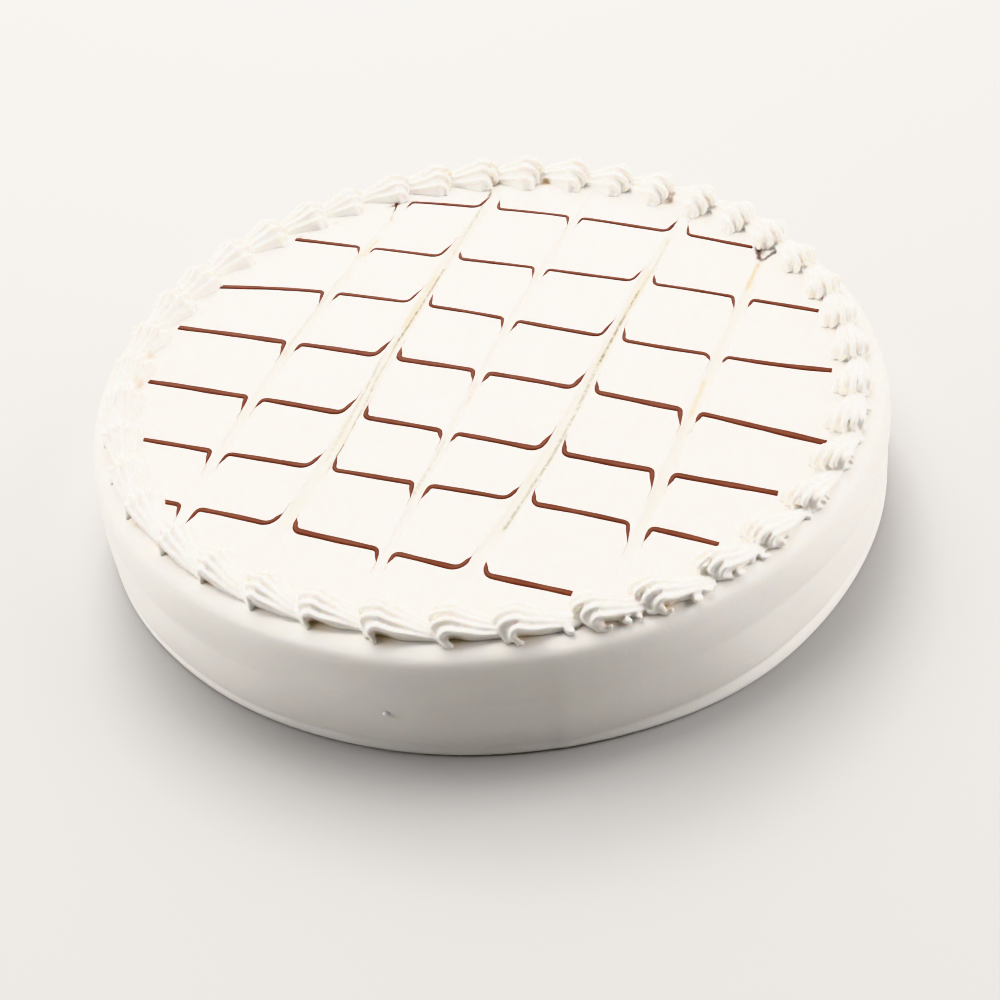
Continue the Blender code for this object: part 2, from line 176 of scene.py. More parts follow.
# Streaks along the grooves: colour, half width in millimetres, strength, how
# broken up, and the places that each passes through, across and along
STREAKS = (
    (YELLOW, 0.85, 0.45, 0.4, ((33.0, 40.0), (31.9, 25.0), (31.4, 8.0))),
    (YELLOW, 0.90, 0.35, 0.5, ((-38.2, 60.0), (-37.0, 44.0), (-36.6, 34.0))),
    (GREY, 0.60, 0.85, 0.6, ((34.0, 88.0), (32.9, 62.0), (32.0, 45.0))),
    (OLIVE, 0.66, 1.00, 0.3, ((32.0, 45.0), (31.0, 25.0), (30.5, 10.0), (30.3, -2.0))),
    (GREY, 0.60, 1.00, 0.4, ((30.3, 0.0), (29.3, -10.0), (28.6, -20.0), (27.0, -30.0),
                             (26.0, -40.0), (24.8, -50.0), (24.0, -64.0))),
    (GREY, 0.50, 0.75, 0.8, ((31.8, -6.0), (30.0, -22.0), (28.2, -40.0), (26.6, -60.0))),
    (OLIVE, 0.68, 1.00, 0.5, ((34.3, 98.0), (34.0, 92.0))),
    (GREY, 0.60, 0.90, 0.5, ((-38.8, 82.0), (-38.8, 75.0), (-38.5, 60.0), (-37.4, 48.0))),
    (OLIVE, 0.70, 1.00, 0.3, ((-37.2, 48.0), (-36.5, 30.0), (-36.3, 20.0), (-36.0, 4.0))),
    (GREY, 0.80, 1.00, 0.5, ((-36.0, 4.0), (-36.5, -20.0), (-36.0, -40.0), (-34.5, -55.0),
                             (-33.0, -72.0))),
    (YELLOW, 0.70, 0.75, 0.4, ((-71.8, 72.0), (-71.3, 56.0))),
    (YELLOW, 0.70, 0.45, 0.5, ((-69.5, 6.0), (-69.4, -12.0))),
    (GREY, 0.59, 0.95, 0.0, ((-70.8, -18.4), (-70.8, -19.8))),
    (OLIVE, 0.70, 0.60, 0.5, ((-72.4, 80.0), (-72.2, 70.0))),
    (DARK, 1.30, 1.00, 0.1, ((-69.4, 83.0), (-70.6, 78.0), (-71.6, 73.5))),
    (DARK, 0.95, 1.00, 0.1, ((-76.6, 81.0), (-74.6, 78.0), (-73.0, 74.0))),
    (OLIVE, 0.58, 0.90, 0.5, ((66.2, 81.0), (65.0, 75.0), (63.5, 69.0))),
    (YELLOW, 0.70, 0.75, 0.5, ((63.0, 57.0), (64.0, 45.0))),
    (GREY, 0.44, 0.55, 0.8, ((65.4, 30.0), (64.6, 0.0), (64.2, -20.0))),
    (PINK, 0.60, 0.70, 0.9, ((-2.4, -12.0), (-3.5, -24.0))),
    (GREY, 0.54, 0.70, 0.8, ((-3.6, -40.0), (-3.9, -50.0), (-3.9, -66.0))),
    (PINK, 0.60, 0.60, 0.6, ((63.6, -12.0), (63.0, -17.0))),
)
STREAK_FADE = 1.5            # millimetres over which a streak ends
STREAK_SHAPE = 4             # power of its falling off sideways
DOT_SIZE = 0.0011            # of the gaps that break it up
DOT_RANGE = (-0.45, 0.15)
STREAK_LEVEL = 0.0010        # streaks lie within this height of the top's level
STREAK_END = 1.0             # millimetres that the mesh's points go on past a streak
STREAK_REACH = 1.6           # and how far they reach sideways, in half widths
STREAK_STEP = 0.8            # millimetres between the mesh's points along a streak
STREAK_POINTS = 7            # and how many lie across it
# Brownish and dark spots where the cream meets the cake: degrees round it, distance from the
# middle and half size round and across in millimetres, colour and strength
RIM_SPOTS = (
    (74.0, 109.2, 1.9, 1.3, BROWNISH, 0.90),
    (95.0, 110.0, 2.0, 1.3, BROWNISH, 0.90),
    (63.5, 110.4, 1.4, 1.2, BROWNISH, 0.70),
    (84.0, 108.2, 1.2, 1.1, BROWNISH, 0.50),
    (48.0, 110.0, 1.2, 2.2, BROWNISH, 0.55),
    (56.0, 112.0, 1.3, 1.2, BROWNISH, 0.50),
    (155.5, 108.0, 1.3, 1.2, BROWNISH, 0.50),
    (142.0, 112.0, 1.4, 2.4, BROWNISH, 0.55),
    (164.5, 109.0, 1.3, 1.2, BROWNISH, 0.50),
    (170.0, 109.5, 1.2, 1.2, BROWNISH, 0.45),
    (177.5, 110.0, 2.4, 1.1, BROWNISH, 0.50),
    (118.0, 104.5, 1.3, 1.2, BROWNISH, 0.45),
    (7.0, 108.0, 1.6, 1.4, BROWNISH, 0.40),
    (211.0, 118.2, 1.6, 0.8, BROWNISH, 0.35),
    (217.0, 117.6, 1.6, 0.8, BROWNISH, 0.35),
    (228.0, 116.6, 2.0, 0.9, BROWNISH, 0.40),
    (236.0, 116.0, 2.0, 0.9, BROWNISH, 0.40),
    (105.5, 104.0, 3.2, 0.8, DARK, 0.90),
    (101.5, 104.4, 1.2, 0.8, DARK, 0.60),
    (126.5, 105.0, 2.6, 0.8, DARK, 0.80),
    (41.0, 102.5, 0.8, 0.7, DARK, 0.60),
)
SPOT_HEIGHT = 0.0032        # spots reach this far up the cream
SPOT_FLOOR = -0.006         # and this far down the wall
STAIN_EDGE = 0.35            # how far noise moves a stain's edge
STAIN_EDGE_SIZE = 0.0016
SPOT_POINTS = tuple(0.55 * step for step in range(-4, 5))   # in half sizes
LEAST_STRENGTH = 1e-30       # under it a point has no stain colour of its own
LIP_HEIGHT = 0.00008
PATTERN_RADIUS = 0.108
LINE_WIDTHS = (0.00184, 0.00174, 0.00188, 0.00252, 0.00232, 0.00204, 0.00208)
BEAD_HEIGHT = 0.00038        # of the drawn line, above the icing
# How far from the middle each line starts and ends, in millimetres
LINE_ENDS = (
    (109.0, 106.0),
    (105.0, 107.5),
    (109.5, 106.5),
    (106.5, 109.5),
    (107.0, 106.8),
    (108.0, 108.0),
    (109.0, 105.5),
)
TIP_CLEAR = 0.0001
# Hooks on the left and the right of a groove, pulled forward and pulled back:
# how far the leg leans toward the groove and how round its corner is
LEFT_HOOKS = ((0.0019, 0.0013), (0.0017, 0.0026))
RIGHT_HOOKS = ((0.0006, 0.0016), (0.0017, 0.0019))
# How far the hooks are pulled along each groove, in millimetres: for each line
# from the back, left and right of the five grooves in turn
HOOK_PULLS = (
    ((6.0, 5.0), (8.0, 6.5), (6.0, 5.0), (8.0, 7.0), (5.0, 4.0)),
    ((4.8, 4.0), (8.5, 4.6), (6.5, 5.0), (7.5, 6.0), (7.0, 5.0)),
    ((6.8, 5.0), (9.0, 7.0), (6.0, 7.0), (9.5, 7.2), (3.0, 3.2)),
    ((7.0, 4.5), (8.5, 6.0), (5.0, 5.5), (8.0, 5.8), (7.2, 4.6)),
    ((7.0, 4.6), (7.5, 5.8), (4.0, 4.4), (7.5, 6.4), (7.2, 5.4)),
    ((6.0, 5.5), (6.0, 6.2), (6.0, 6.0), (5.4, 5.4), (7.2, 5.6)),
    ((5.0, 6.5), (5.0, 4.5), (4.6, 4.2), (5.0, 4.4), (5.0, 4.0)),
)
HOOK_FULL = 0.22             # share of a leg that keeps its whole width
HOOK_TIP = 0.14              # share of that width left at its tip
LEG_WIDTH = 0.66             # of a hook's leg, as a share of the line's width
LEG_STEPS = 14
TRAIL_STEPS = 10
LINE_SINK = 0.0025
SHORTEST_LINE = 0.002
BEND_SHARE = 0.9
BEND_STEPS = 12
CORNER_SHARE = 0.6           # of a leg's length that its corner may take
TRAIL_LENGTHS = (0.0015, 0.0050)
TRAIL_TIP = 0.04             # share of the width at a trail's end
TRAIL_UNEVEN = (0.6, 1.0)
# Unevenness of a line's width: share, wavelength over two pi, and turns of phase
WIDTH_WAVES = ((0.08, 0.0071, 1.0), (0.06, 0.0023, 2.0))
SWAY = 0.00010
SWAY_LENGTH = 0.0063
BACK_LINES = 3               # lines at the back that widen toward the border
BACK_WIDENING = 0.22
BACK_FROM = (0.060, 0.100)   # between these distances from the middle
THIN_HEIGHT = 0.35           # share of a bead's height that is left where it is thin
# Painted highlight along the middle of a line: strength, half width, evenness and wavelength over two pi
SHEEN_STRENGTH = 0.75
SHEEN_WIDTH = 0.5
SHEEN_EVEN = 0.7
SHEEN_LENGTH = 0.0029
LINE_SEED = 11
RUN_STEP = 0.0006

# Piped border. A shell is drawn in metres forward along the ring, outward
# from its middle and up from the iced top
SHELL_COUNT = 41
SHELL_START = math.radians(227.2)
BORDER_RADIUS = 0.1145
# Where round the ring the piping strays: degrees, metres outward, size
BORDER_READINGS = (
    (0.0, -0.0022, 1.00),
    (30.0, -0.0012, 1.08),
    (60.0, -0.0012, 1.18),
    (88.0, -0.0012, 1.18),
    (112.0, -0.0018, 1.00),
    (135.0, -0.0018, 1.08),
    (165.0, -0.0020, 1.02),
    (182.0, -0.0022, 0.98),
    (205.0, -0.0008, 0.98),
    (228.0, -0.0022, 0.98),
    (248.0, -0.0023, 1.02),
    (264.0, -0.0018, 1.04),
    (282.0, -0.0004, 0.96),
    (310.0, -0.0006, 0.92),
    (335.0, -0.0022, 0.98),
)
SHELL_TAIL = 0.0150
UNDERSIDE = -0.0006
TAIL_NARROWING = 0.66
TAIL_DROP = 0.72
TAIL_FALL = 0.8              # under 1 lets the tail fall off early
TAIL_DRIFT = 0.0020
# The ridges of a shell, in millimetres: outward from its middle, up to the
# crest, how far the hook reaches back, how far its leg leans forward and
# outward on the way down, and its radius
ROPES = (
    (4.5, 5.5, 2.0, 1.8, 1.1, 0.90),
    (2.3, 6.7, 3.9, 2.0, 2.2, 0.95),
    (-0.1, 7.1, 5.2, 1.5, 1.6, 0.95),
    (-2.7, 6.2, 4.8, 0.8, -0.4, 0.90),
    (-5.0, 4.1, 3.2, 0.5, -0.8, 0.85),
)
ROPE_SIDES = 8
ROPE_THINNING = 0.50
HOOK_DROP = 0.0025
FOOT_REST = 0.45             # of its radius, how high a foot's middle lies
FOOT_THINNING = 0.12
FOOT_CURL = 0.0009           # radius of the turn that a foot makes forward
FOOT_TURN = 0.9              # and its angle, in radians
FOOT_STEPS = 6
MESSY_TURN = 1.5             # added to that angle at the messiest shells
MESSY_LEAN = 0.0012          # and their legs lean further forward
OPEN_FROM = (236.0, 246.0)   # the hollows are open between these places, in degrees
OPEN_TO = (288.0, 300.0)
OPENNESS = (0.00, 0.55)      # share of a hollow elsewhere, and there
JUMBLE = 1.5                 # how much more uneven the messiest shells are
JUMBLE_TURN = 300.0          # where round the ring they lie, in degrees
JUMBLE_WIDTH = 28.0
# Scraps of cream at the foot of the messiest shells: how many, and between which
# values lie their place, radius, the radius of their bend and its angle
SCRAP_COUNT = 7
SCRAP_FORWARD = (0.0010, 0.0150)
SCRAP_OUTWARD = (0.0022, 0.0048)
SCRAP_RADIUS = (0.00060, 0.00100)
SCRAP_BEND = (0.0008, 0.0016)
SCRAP_TURN = (1.5, 4.2)
SCRAP_STEPS = 9
# Section of the cream inside the ridges, outward and up in millimetres: at the
# crown, hollow on its outer side, along the tail, and at the head
CORE_SECTION = (
    (2.2, -0.6), (2.8, 1.7), (3.8, 3.3), (4.5, 4.0), (4.2, 4.6), (2.3, 5.5),
    (-0.1, 6.0), (-2.7, 5.1), (-4.9, 3.1), (-5.9, 1.0), (-6.2, -0.6),
)
CORE_TAIL = (
    (4.3, -0.6), (4.7, 0.8), (4.9, 2.4), (4.7, 3.8), (4.2, 4.7), (2.3, 5.5),
    (-0.1, 6.0), (-2.7, 5.1), (-4.9, 3.1), (-5.9, 1.0), (-6.2, -0.6),
)
CORE_HEAD = (
    (3.2, -0.6), (3.7, 1.6), (4.1, 3.0), (4.3, 3.9), (4.2, 4.6), (2.3, 5.5),
    (-0.1, 6.0), (-2.7, 5.1), (-4.9, 3.1), (-5.9, 1.0), (-6.2, -0.6),
)
CORE_BACK = 0.0042
HOLLOW_END = (0.08, 0.42)    # shares of the tail over which its hollow closes
BACK_FULLNESS = 0.07         # how much fuller the core is at the back of the cake
BACK_INWARD = 0.28           # and how much further its shells reach inward
# Painted warm shade, partly a milk stain, in a shell's hollow under its tail: its middle and
# half sizes forward, outward and up
HOLLOW_SHADE_PLACE = (0.0012, 0.0038, 0.0006)
HOLLOW_SHADE_SIZE = (0.0042, 0.0021, 0.0017)
HOLLOW_SHADE_COLOUR = (0.88, 0.74, 0.56)
VOXEL = 0.00036
SOFTEN_STEPS = 3
BORDER_FACES = 190000
SIZE_SPREAD = 0.05
RADIUS_SPREAD = 0.0003
TURN_SPREAD = math.radians(0.5)
YAW_SPREAD = 0.06

WARM = (1.0, 0.985, 0.960)   # colour of the main lights
PINKISH = (1.0, 0.975, 0.965)

# Camera, in metres and degrees
CAMERA_PLACE = Vector((0.0, -0.3084, 0.2601))
CAMERA_AIM = Vector((0.0002, -0.0670, 0.0343))
CAMERA_ROLL = math.radians(6.13)
CAMERA_LENS = 43.32


def curve_through(readings, place):
    total = np.zeros_like(place)
    for i, reading in enumerate(readings):
        weight = np.ones_like(place)
        for j, other in enumerate(READING_PLACES):
            if j != i:
                weight = weight * (1000.0 * place - other) / (READING_PLACES[i] - other)
        total = total + weight * reading
    return total / 1000.0


def groove_across(index, along):
    return curve_through(GROOVE_READINGS[index], np.asarray(along, float))


def line_along(index, across):
    return curve_through(LINE_READINGS[index], np.asarray(across, float))


def groove_pull(index):
    return -1.0 if index % 2 == 0 else 1.0


def tip_gap(index):
    return 0.5 * GROOVE_WIDTHS[index] + TIP_CLEAR


def half_chord(offset, radius=PATTERN_RADIUS):
    return math.sqrt(max(radius ** 2 - offset ** 2, 0.0))


def border_reach(index, side):
    radius = 0.001 * LINE_ENDS[index][0 if side > 0.0 else 1]
    reach = half_chord(float(line_along(index, 0.0)), radius)
    for _ in range(4):
        reach = half_chord(float(line_along(index, side * reach)), radius)
    return side * reach


def pattern_to_cake(across, along):
    cos_turn = math.cos(PATTERN_TURN)
    sin_turn = math.sin(PATTERN_TURN)
    return along * cos_turn - across * sin_turn, along * sin_turn + across * cos_turn


def cake_to_pattern(x, y):
    cos_turn = math.cos(PATTERN_TURN)
    sin_turn = math.sin(PATTERN_TURN)
    return -x * sin_turn + y * cos_turn, x * cos_turn + y * sin_turn


def smooth_step(low, high, value):
    share = np.clip((value - low) / (high - low), 0.0, 1.0)
    return share * share * (3.0 - 2.0 * share)


def bump(value, middle, width):
    return np.exp(-((value - middle) / width) ** 2)


def noise_at(points, size, seed):
    """Smooth noise from -1 to 1 at rows of points, with features of a size."""
    shift = Vector((seed * 7.3, seed * 3.1, seed * 5.7))
    return np.array([noise.noise(Vector(p) / size + shift) for p in points])


# Relief of the iced top


def groove_fade(index, along):
    """One along a groove and falling to nothing at its two ends."""
    reach = half_chord(float(groove_across(index, 0.0))) - GROOVE_SHORT
    return smooth_step(0.0, GROOVE_FADE, reach - np.abs(along))


def top_relief(across, along):
    """Height of the iced top over its flat level at places in the pattern."""
    height = np.zeros_like(across)
    for index in range(len(GROOVE_READINGS)):
        fade = FADE_LEAST + (1.0 - FADE_LEAST) * groove_fade(index, along)
        fade = fade * (np.abs(along) < half_chord(float(groove_across(index, 0.0))))
        off = across - groove_across(index, along)
        half = 0.5 * GROOVE_WIDTHS[index]
        channel = 1.0 - smooth_step(*CHANNEL_EDGE, np.abs(off) / half)
        lip = bump(np.abs(off), LIP_PLACE * half, LIP_WIDTH)
        height = height + fade * (LIP_HEIGHT * lip - GROOVE_DEPTH * channel)
    return height


def grid_rows():
    """Places across and along for the top's grid, close together at grooves."""
    half = 0.001 * np.array(NEAR_PLACES + FAR_PLACES)
    offsets = np.concatenate([-half[::-1], [0.0], half])
    for along in np.arange(-GRID_REACH, GRID_REACH + 0.1 * GRID_STEP, GRID_STEP):
        middles = [float(groove_across(i, along)) for i in range(len(GROOVE_READINGS))]
        row = []
        for middle in middles:
            row.extend(middle + offsets)
        edges = [GRID_EDGE] + middles + [-GRID_EDGE]
        for left, right in zip(edges, edges[1:]):
            inner_left = left - (GROOVE_ROOM if left != edges[0] else 0.0)
            inner_right = right + (GROOVE_ROOM if right != edges[-1] else 0.0)
            count = max(2, round(abs(inner_left - inner_right) / GRID_SPACING))
            row.extend(np.linspace(inner_left, inner_right, count))
        yield along, sorted(set(round(float(v), 6) for v in row))


def wander(angle, share):
    wave = sum(
        part * math.sin(count * angle + phase + drift * share)
        for count, phase, part, drift in WALL_WAVES
    )
    away = (angle - FOOT_SPREAD_TURN) / FOOT_SPREAD_WIDTH
    foot = FOOT_SPREAD * math.exp(-away ** 2) * max(0.0, 1.0 - share / FOOT_BAND)
    return WALL_UNEVEN * wave * math.sin(math.pi * min(share, WAVE_TOP)) + foot


def crease_share(angle):
    """How deep the crease over the foot band is at an angle, up to one."""
    share = CREASE_LEAST
    for degrees, width, depth in CREASE_PLACES:
        away = (math.degrees(angle) - degrees + 180.0) % 360.0 - 180.0
        share += depth * math.exp(-(away / width) ** 2)
    ragged = CREASE_RAGGED * noise.noise(Vector((math.cos(angle), math.sin(angle), 0.3)) * 9.0)
    return min(1.0, max(0.0, share + ragged))


def smooth_outline(count, radii):
    """A wall outline as a smooth curve through its points."""
    points = [Vector((r * CAKE_RADIUS, h * TOP_HEIGHT)) for r, (_, h) in zip(radii, WALL_OUTLINE)]
    points = [2 * points[0] - points[1]] + points + [points[-1] + Vector((-RIM_RUN, 0.0))]
    fine = []
    for a, b, c, d in zip(points, points[1:], points[2:], points[3:]):
        for i in range(CURVE_STEPS):
            t = i / CURVE_STEPS
            fine.append(0.5 * ((2 * b) + (c - a) * t + (2 * a - 5 * b + 4 * c - d) * t * t
                               + (3 * b - a - 3 * c + d) * t ** 3))
    fine.append(points[-2].copy())
    lengths = [0.0]
    for a, b in zip(fine, fine[1:]):
        lengths.append(lengths[-1] + (b - a).length)
    rows = []
    for i in range(count):
        want = lengths[-1] * (i / (count - 1)) ** FOOT_CROWDING
        k = min(max(np.searchsorted(lengths, want) - 1, 0), len(fine) - 2)
        span = lengths[k + 1] - lengths[k]
        t = (want - lengths[k]) / span if span > 0.0 else 0.0
        rows.append(fine[k].lerp(fine[k + 1], min(max(t, 0.0), 1.0)))
    return rows


def marks(kind, angle, height):
    depth, size, finer, shift = kind
    x = CAKE_RADIUS * math.cos(angle)
    y = CAKE_RADIUS * math.sin(angle)
    return depth * noise.noise(Vector((x, y, height * finer)) / size + Vector(shift))


def wall_detail(angle, height):
    """Marks that the smoothing spatula left in the wall, in metres."""
    slant = height + MARK_RISE * math.sin(2.0 * angle + MARK_PHASE)
    lap = angle % math.pi - LAP_TURN
    step = LAP_STEP * (0.5 + 0.5 * math.tanh(lap / LAP_WIDTH)) * math.exp(-max(lap, 0.0) / LAP_FADE)
    relief = marks(SOFT_MARKS, angle, height) + marks(LONG_MARKS, angle, slant)
    return relief + marks(FINE_MARKS, angle, slant) + step


def make_mesh(name, points, faces, smooth=True):
    mesh = bpy.data.meshes.new(name)
    mesh.from_pydata([tuple(p) for p in points], [], faces)
    mesh.validate()
    item = bpy.data.objects.new(name, mesh)
    bpy.context.scene.collection.objects.link(item)
    if smooth:
        mesh.shade_smooth()
    return item


def add_values(item, name, values):
    layer = item.data.attributes.new(name, "FLOAT", "POINT")
    layer.data.foreach_set("value", np.asarray(values, np.float32))


def add_crumb(points, faces):
    """A crumb of icing, half sunk in the wall."""
    ball = bmesh.new()
    bmesh.ops.create_icosphere(ball, subdivisions=3, radius=1.0)
    first = len(points)
    for corner in ball.verts:
        lump = 1.0 + CRUMB_LUMPS * noise.noise(corner.co * CRUMB_LUMP_SCALE)
        side, out, up = (size * lump * value for size, value in zip(CRUMB_SIZE, corner.co))
        reach = CRUMB_RADIUS + out
        angle = CRUMB_TURN + side / CRUMB_RADIUS
        points.append((reach * math.cos(angle), reach * math.sin(angle), CRUMB_HEIGHT + up))
    faces.extend(tuple(first + corner.index for corner in face.verts)[::-1] for face in ball.faces)
    ball.free()


def make_body():
    """The whole iced cake: turned wall, flat underside and relieved top."""
    creased = smooth_outline(WALL_ROWS, [r for r, _ in WALL_OUTLINE])
    flush = [r for r, _ in WALL_OUTLINE]
    flush[1:1 + len(FLUSH_FOOT)] = FLUSH_FOOT
    flush = smooth_outline(WALL_ROWS, flush)
    creases = [crease_share(2.0 * math.pi * step / WALL_STEPS) for step in range(WALL_STEPS)]
    points = []
    faces = []
    for with_crease, without in zip(creased, flush):
        for step, crease in enumerate(creases):
            place = without.lerp(with_crease, crease)
            share = place.y / TOP_HEIGHT
            edge = smooth_step(*MARK_FOOT, share) * (1.0 - smooth_step(*MARK_RIM, share))
            angle = 2.0 * math.pi * step / WALL_STEPS
            reach = place.x + wander(angle, share) + edge * wall_detail(angle, place.y)
            points.append((reach * math.cos(angle), reach * math.sin(angle), place.y))
    for row in range(WALL_ROWS - 1):
        low = row * WALL_STEPS
        high = low + WALL_STEPS
        for step in range(WALL_STEPS):
            after = (step + 1) % WALL_STEPS
            faces.append((low + step, low + after, high + after, high + step))
    rim = (WALL_ROWS - 1) * WALL_STEPS
    wall_count = len(points)

    # Underside
    centre = len(points)
    points.append((0.0, 0.0, 0.0))
    for step in range(WALL_STEPS):
        faces.append((centre, (step + 1) % WALL_STEPS, step))

    # Top, a grid that follows the grooves, joined to the rim
    rim_radius = math.hypot(points[rim][0], points[rim][1])
    flat = [Vector(points[rim + step][:2]) for step in range(WALL_STEPS)]
    for along, acrosses in grid_rows():
        for across in acrosses:
            x, y = pattern_to_cake(across, along)
            if math.hypot(x, y) < RING_START - RING_GAP:
                flat.append(Vector((x, y)))
    for reach in np.arange(RING_START, rim_radius - RING_GAP, RING_STEP):
        count = round(2.0 * math.pi * reach / RING_SPACING)
        for step in range(count):
            angle = 2.0 * math.pi * (step + (0.5 if round(reach / RING_STEP) % 2 else 0.0)) / count
            flat.append(Vector((reach * math.cos(angle), reach * math.sin(angle))))
    for degrees, reach, around, across, _, _ in RIM_SPOTS:
        if 0.001 * reach < RING_START:
            angle = math.radians(degrees)
            for step in SPOT_POINTS:
                for out in SPOT_POINTS:
                    place = Vector((0.001 * reach + 0.001 * out * across, 0.001 * step * around))
                    if place.length < RING_START - RING_GAP:
                        flat.append(Matrix.Rotation(angle, 2) @ place)
    for _, half, _, _, places in STREAKS:
        rows = sorted(places, key=lambda row: row[1])
        for along in np.arange(rows[0][1] - STREAK_END, rows[-1][1] + STREAK_END, STREAK_STEP):
            middle = np.interp(along, [row[1] for row in rows], [row[0] for row in rows])
            for off in np.linspace(-STREAK_REACH, STREAK_REACH, STREAK_POINTS):
                place = Vector(pattern_to_cake(0.001 * (middle + off * half), 0.001 * along))
                if place.length < RING_START - RING_GAP:
                    flat.append(place)
    ring = [list(range(WALL_STEPS))]
    found = delaunay_2d_cdt(flat, [], ring, 1, JOIN_DISTANCE)
    corners, _, triangles, origins = found[0], found[1], found[2], found[3]
    index_of = {}
    xs = np.array([c.x for c in corners])
    ys = np.array([c.y for c in corners])
    acrosses, alongs = cake_to_pattern(xs, ys)
    inner = 1.0 - smooth_step(*SWELL_END, np.hypot(xs, ys))
    swell = SWELL_DEPTH * noise_at(np.stack([xs, ys, 0 * xs], 1), SWELL_SIZE, 1.0)
    heights = TOP_HEIGHT + top_relief(acrosses, alongs) + inner * swell
    for i, corner in enumerate(corners):
        source = [k for k in origins[i] if k < WALL_STEPS]
        if source:
            index_of[i] = rim + source[0]
        else:
            index_of[i] = len(points)
            points.append((corner.x, corner.y, heights[i]))
    for a, b, c in triangles:
        faces.append((index_of[a], index_of[b], index_of[c]))

    add_crumb(points, faces)
    item = make_mesh("iced_body", points, faces)
    return item, wall_count


def tint_grooves(body, wall_count):
    """Mark how far each point of the top lies in the floor of a groove."""
    corners = np.array([v.co for v in body.data.vertices])
    acrosses, alongs = cake_to_pattern(corners[:, 0], corners[:, 1])
    channel = np.zeros(len(corners))
    for index, width in enumerate(GROOVE_WIDTHS):
        off = np.abs(acrosses - groove_across(index, alongs))
        inside = (1.0 - smooth_step(*TINT_EDGE, off / (0.5 * width))) * groove_fade(index, alongs)
        channel = np.maximum(channel, GROOVE_TINTS[index] * inside)
    channel[:wall_count] = 0.0
    patchy = TINT_EVEN + TINT_PATCHES * noise_at(corners * (1.0, 1.0, 0.0), PATCH_SIZE, 4.0)
    add_values(body, "channel", np.clip(channel * patchy, 0.0, 1.0))


# Chocolate lines


def line_end(index, groove, side):
    if groove is None:
        return border_reach(index, side)
    return float(groove_across(groove, line_along(index, 0.0))) - side * tip_gap(groove)


def hook_stations(index, groove, side, room, rng):
    """Places and widths from the end of a hook's thin trail to its line."""
    left, right = HOOK_PULLS[index][groove]
    pull = groove_pull(groove) * 0.001 * (left if side < 0.0 else right)
    lean, corner = (LEFT_HOOKS if side < 0.0 else RIGHT_HOOKS)[groove % 2]
    corner = min(corner, room)
    level = float(line_along(index, 0.0))
    tip = float(groove_across(groove, level + pull)) - side * tip_gap(groove)
    rows = []
    trail = math.copysign(rng.uniform(*TRAIL_LENGTHS), pull)
    for i in range(TRAIL_STEPS):
        share = 1.0 - i / TRAIL_STEPS
        along = float(line_along(index, tip)) + pull + trail * share
        across = float(groove_across(groove, along)) - side * tip_gap(groove)
        wider = (LEG_WIDTH * HOOK_TIP - TRAIL_TIP) * (1.0 - share)
        thin = TRAIL_TIP + wider * rng.uniform(*TRAIL_UNEVEN)
        rows.append((across, along, thin))
    knee = Vector((tip - side * lean, float(line_along(index, tip - side * lean))))
    foot = Vector((tip, float(line_along(index, tip)) + pull))
    leg = foot - knee
    corner = min(corner, CORNER_SHARE * leg.length)
    upper = knee + leg.normalized() * corner
    inner = Vector((knee.x - side * corner, float(line_along(index, knee.x - side * corner))))
    for i in range(LEG_STEPS):
        share = 1.0 - i / LEG_STEPS
        place = upper + (foot - upper) * share
        thin = min(1.0, 1.0 - (share - HOOK_FULL) / (1.0 - HOOK_FULL) * (1.0 - HOOK_TIP))
        rows.append((place.x, place.y, LEG_WIDTH * thin))
    for i in range(BEND_STEPS + 1):
        share = i / BEND_STEPS
        place = upper * (1.0 - share) ** 2 + knee * (2.0 * share * (1.0 - share)) + inner * share ** 2
        rows.append((place.x, place.y, LEG_WIDTH + (1.0 - LEG_WIDTH) * share))
    return rows


def line_stations(index, left, right, rng):
    length = line_end(index, left, 1.0) - line_end(index, right, -1.0)
    hooks = 2 - (left, right).count(None)
    room = BEND_SHARE * (length - LINE_SINK * (2 - hooks)) / hooks
    ends = []
    for groove, side in ((left, 1.0), (right, -1.0)):
        if groove is None:
            end = border_reach(index, side)
            ends.append([(end, float(line_along(index, end)), 1.0)])
        else:
            ends.append(hook_stations(index, groove, side, room, rng))
    start = ends[0][-1][0]
    stop = ends[1][-1][0]
    count = max(2, round(abs(start - stop) / RUN_STEP))
    run = []
    for i in range(1, count):
        across = start + (stop - start) * i / count
        run.append((across, float(line_along(index, across)), 1.0))
    return ends[0] + run + ends[1][::-1]


def line_stretches():
    for index in range(len(LINE_READINGS)):
        along = float(line_along(index, 0.0))
        inside = []
        for groove in range(len(GROOVE_READINGS)):
            across = float(groove_across(groove, along))
            side = 1.0 if across > 0.0 else -1.0
            taken = tip_gap(groove) + LINE_SINK + SHORTEST_LINE
            if abs(across) + taken < abs(border_reach(index, side)):
                inside.append(groove)
        borders = [None, *inside, None]
        for left, right in zip(borders, borders[1:]):
            yield index, left, right


# Height of a line's bead across its width: a share of its half width out
# from the middle, and a share of its height
BEAD_PROFILE = (
    (-1.00, -0.30), (-0.96, 0.30), (-0.80, 0.78), (-0.55, 1.00), (-0.28, 0.92), (0.0, 0.74),
    (0.28, 0.90), (0.55, 0.97), (0.80, 0.76), (0.96, 0.30), (1.00, -0.30),
)


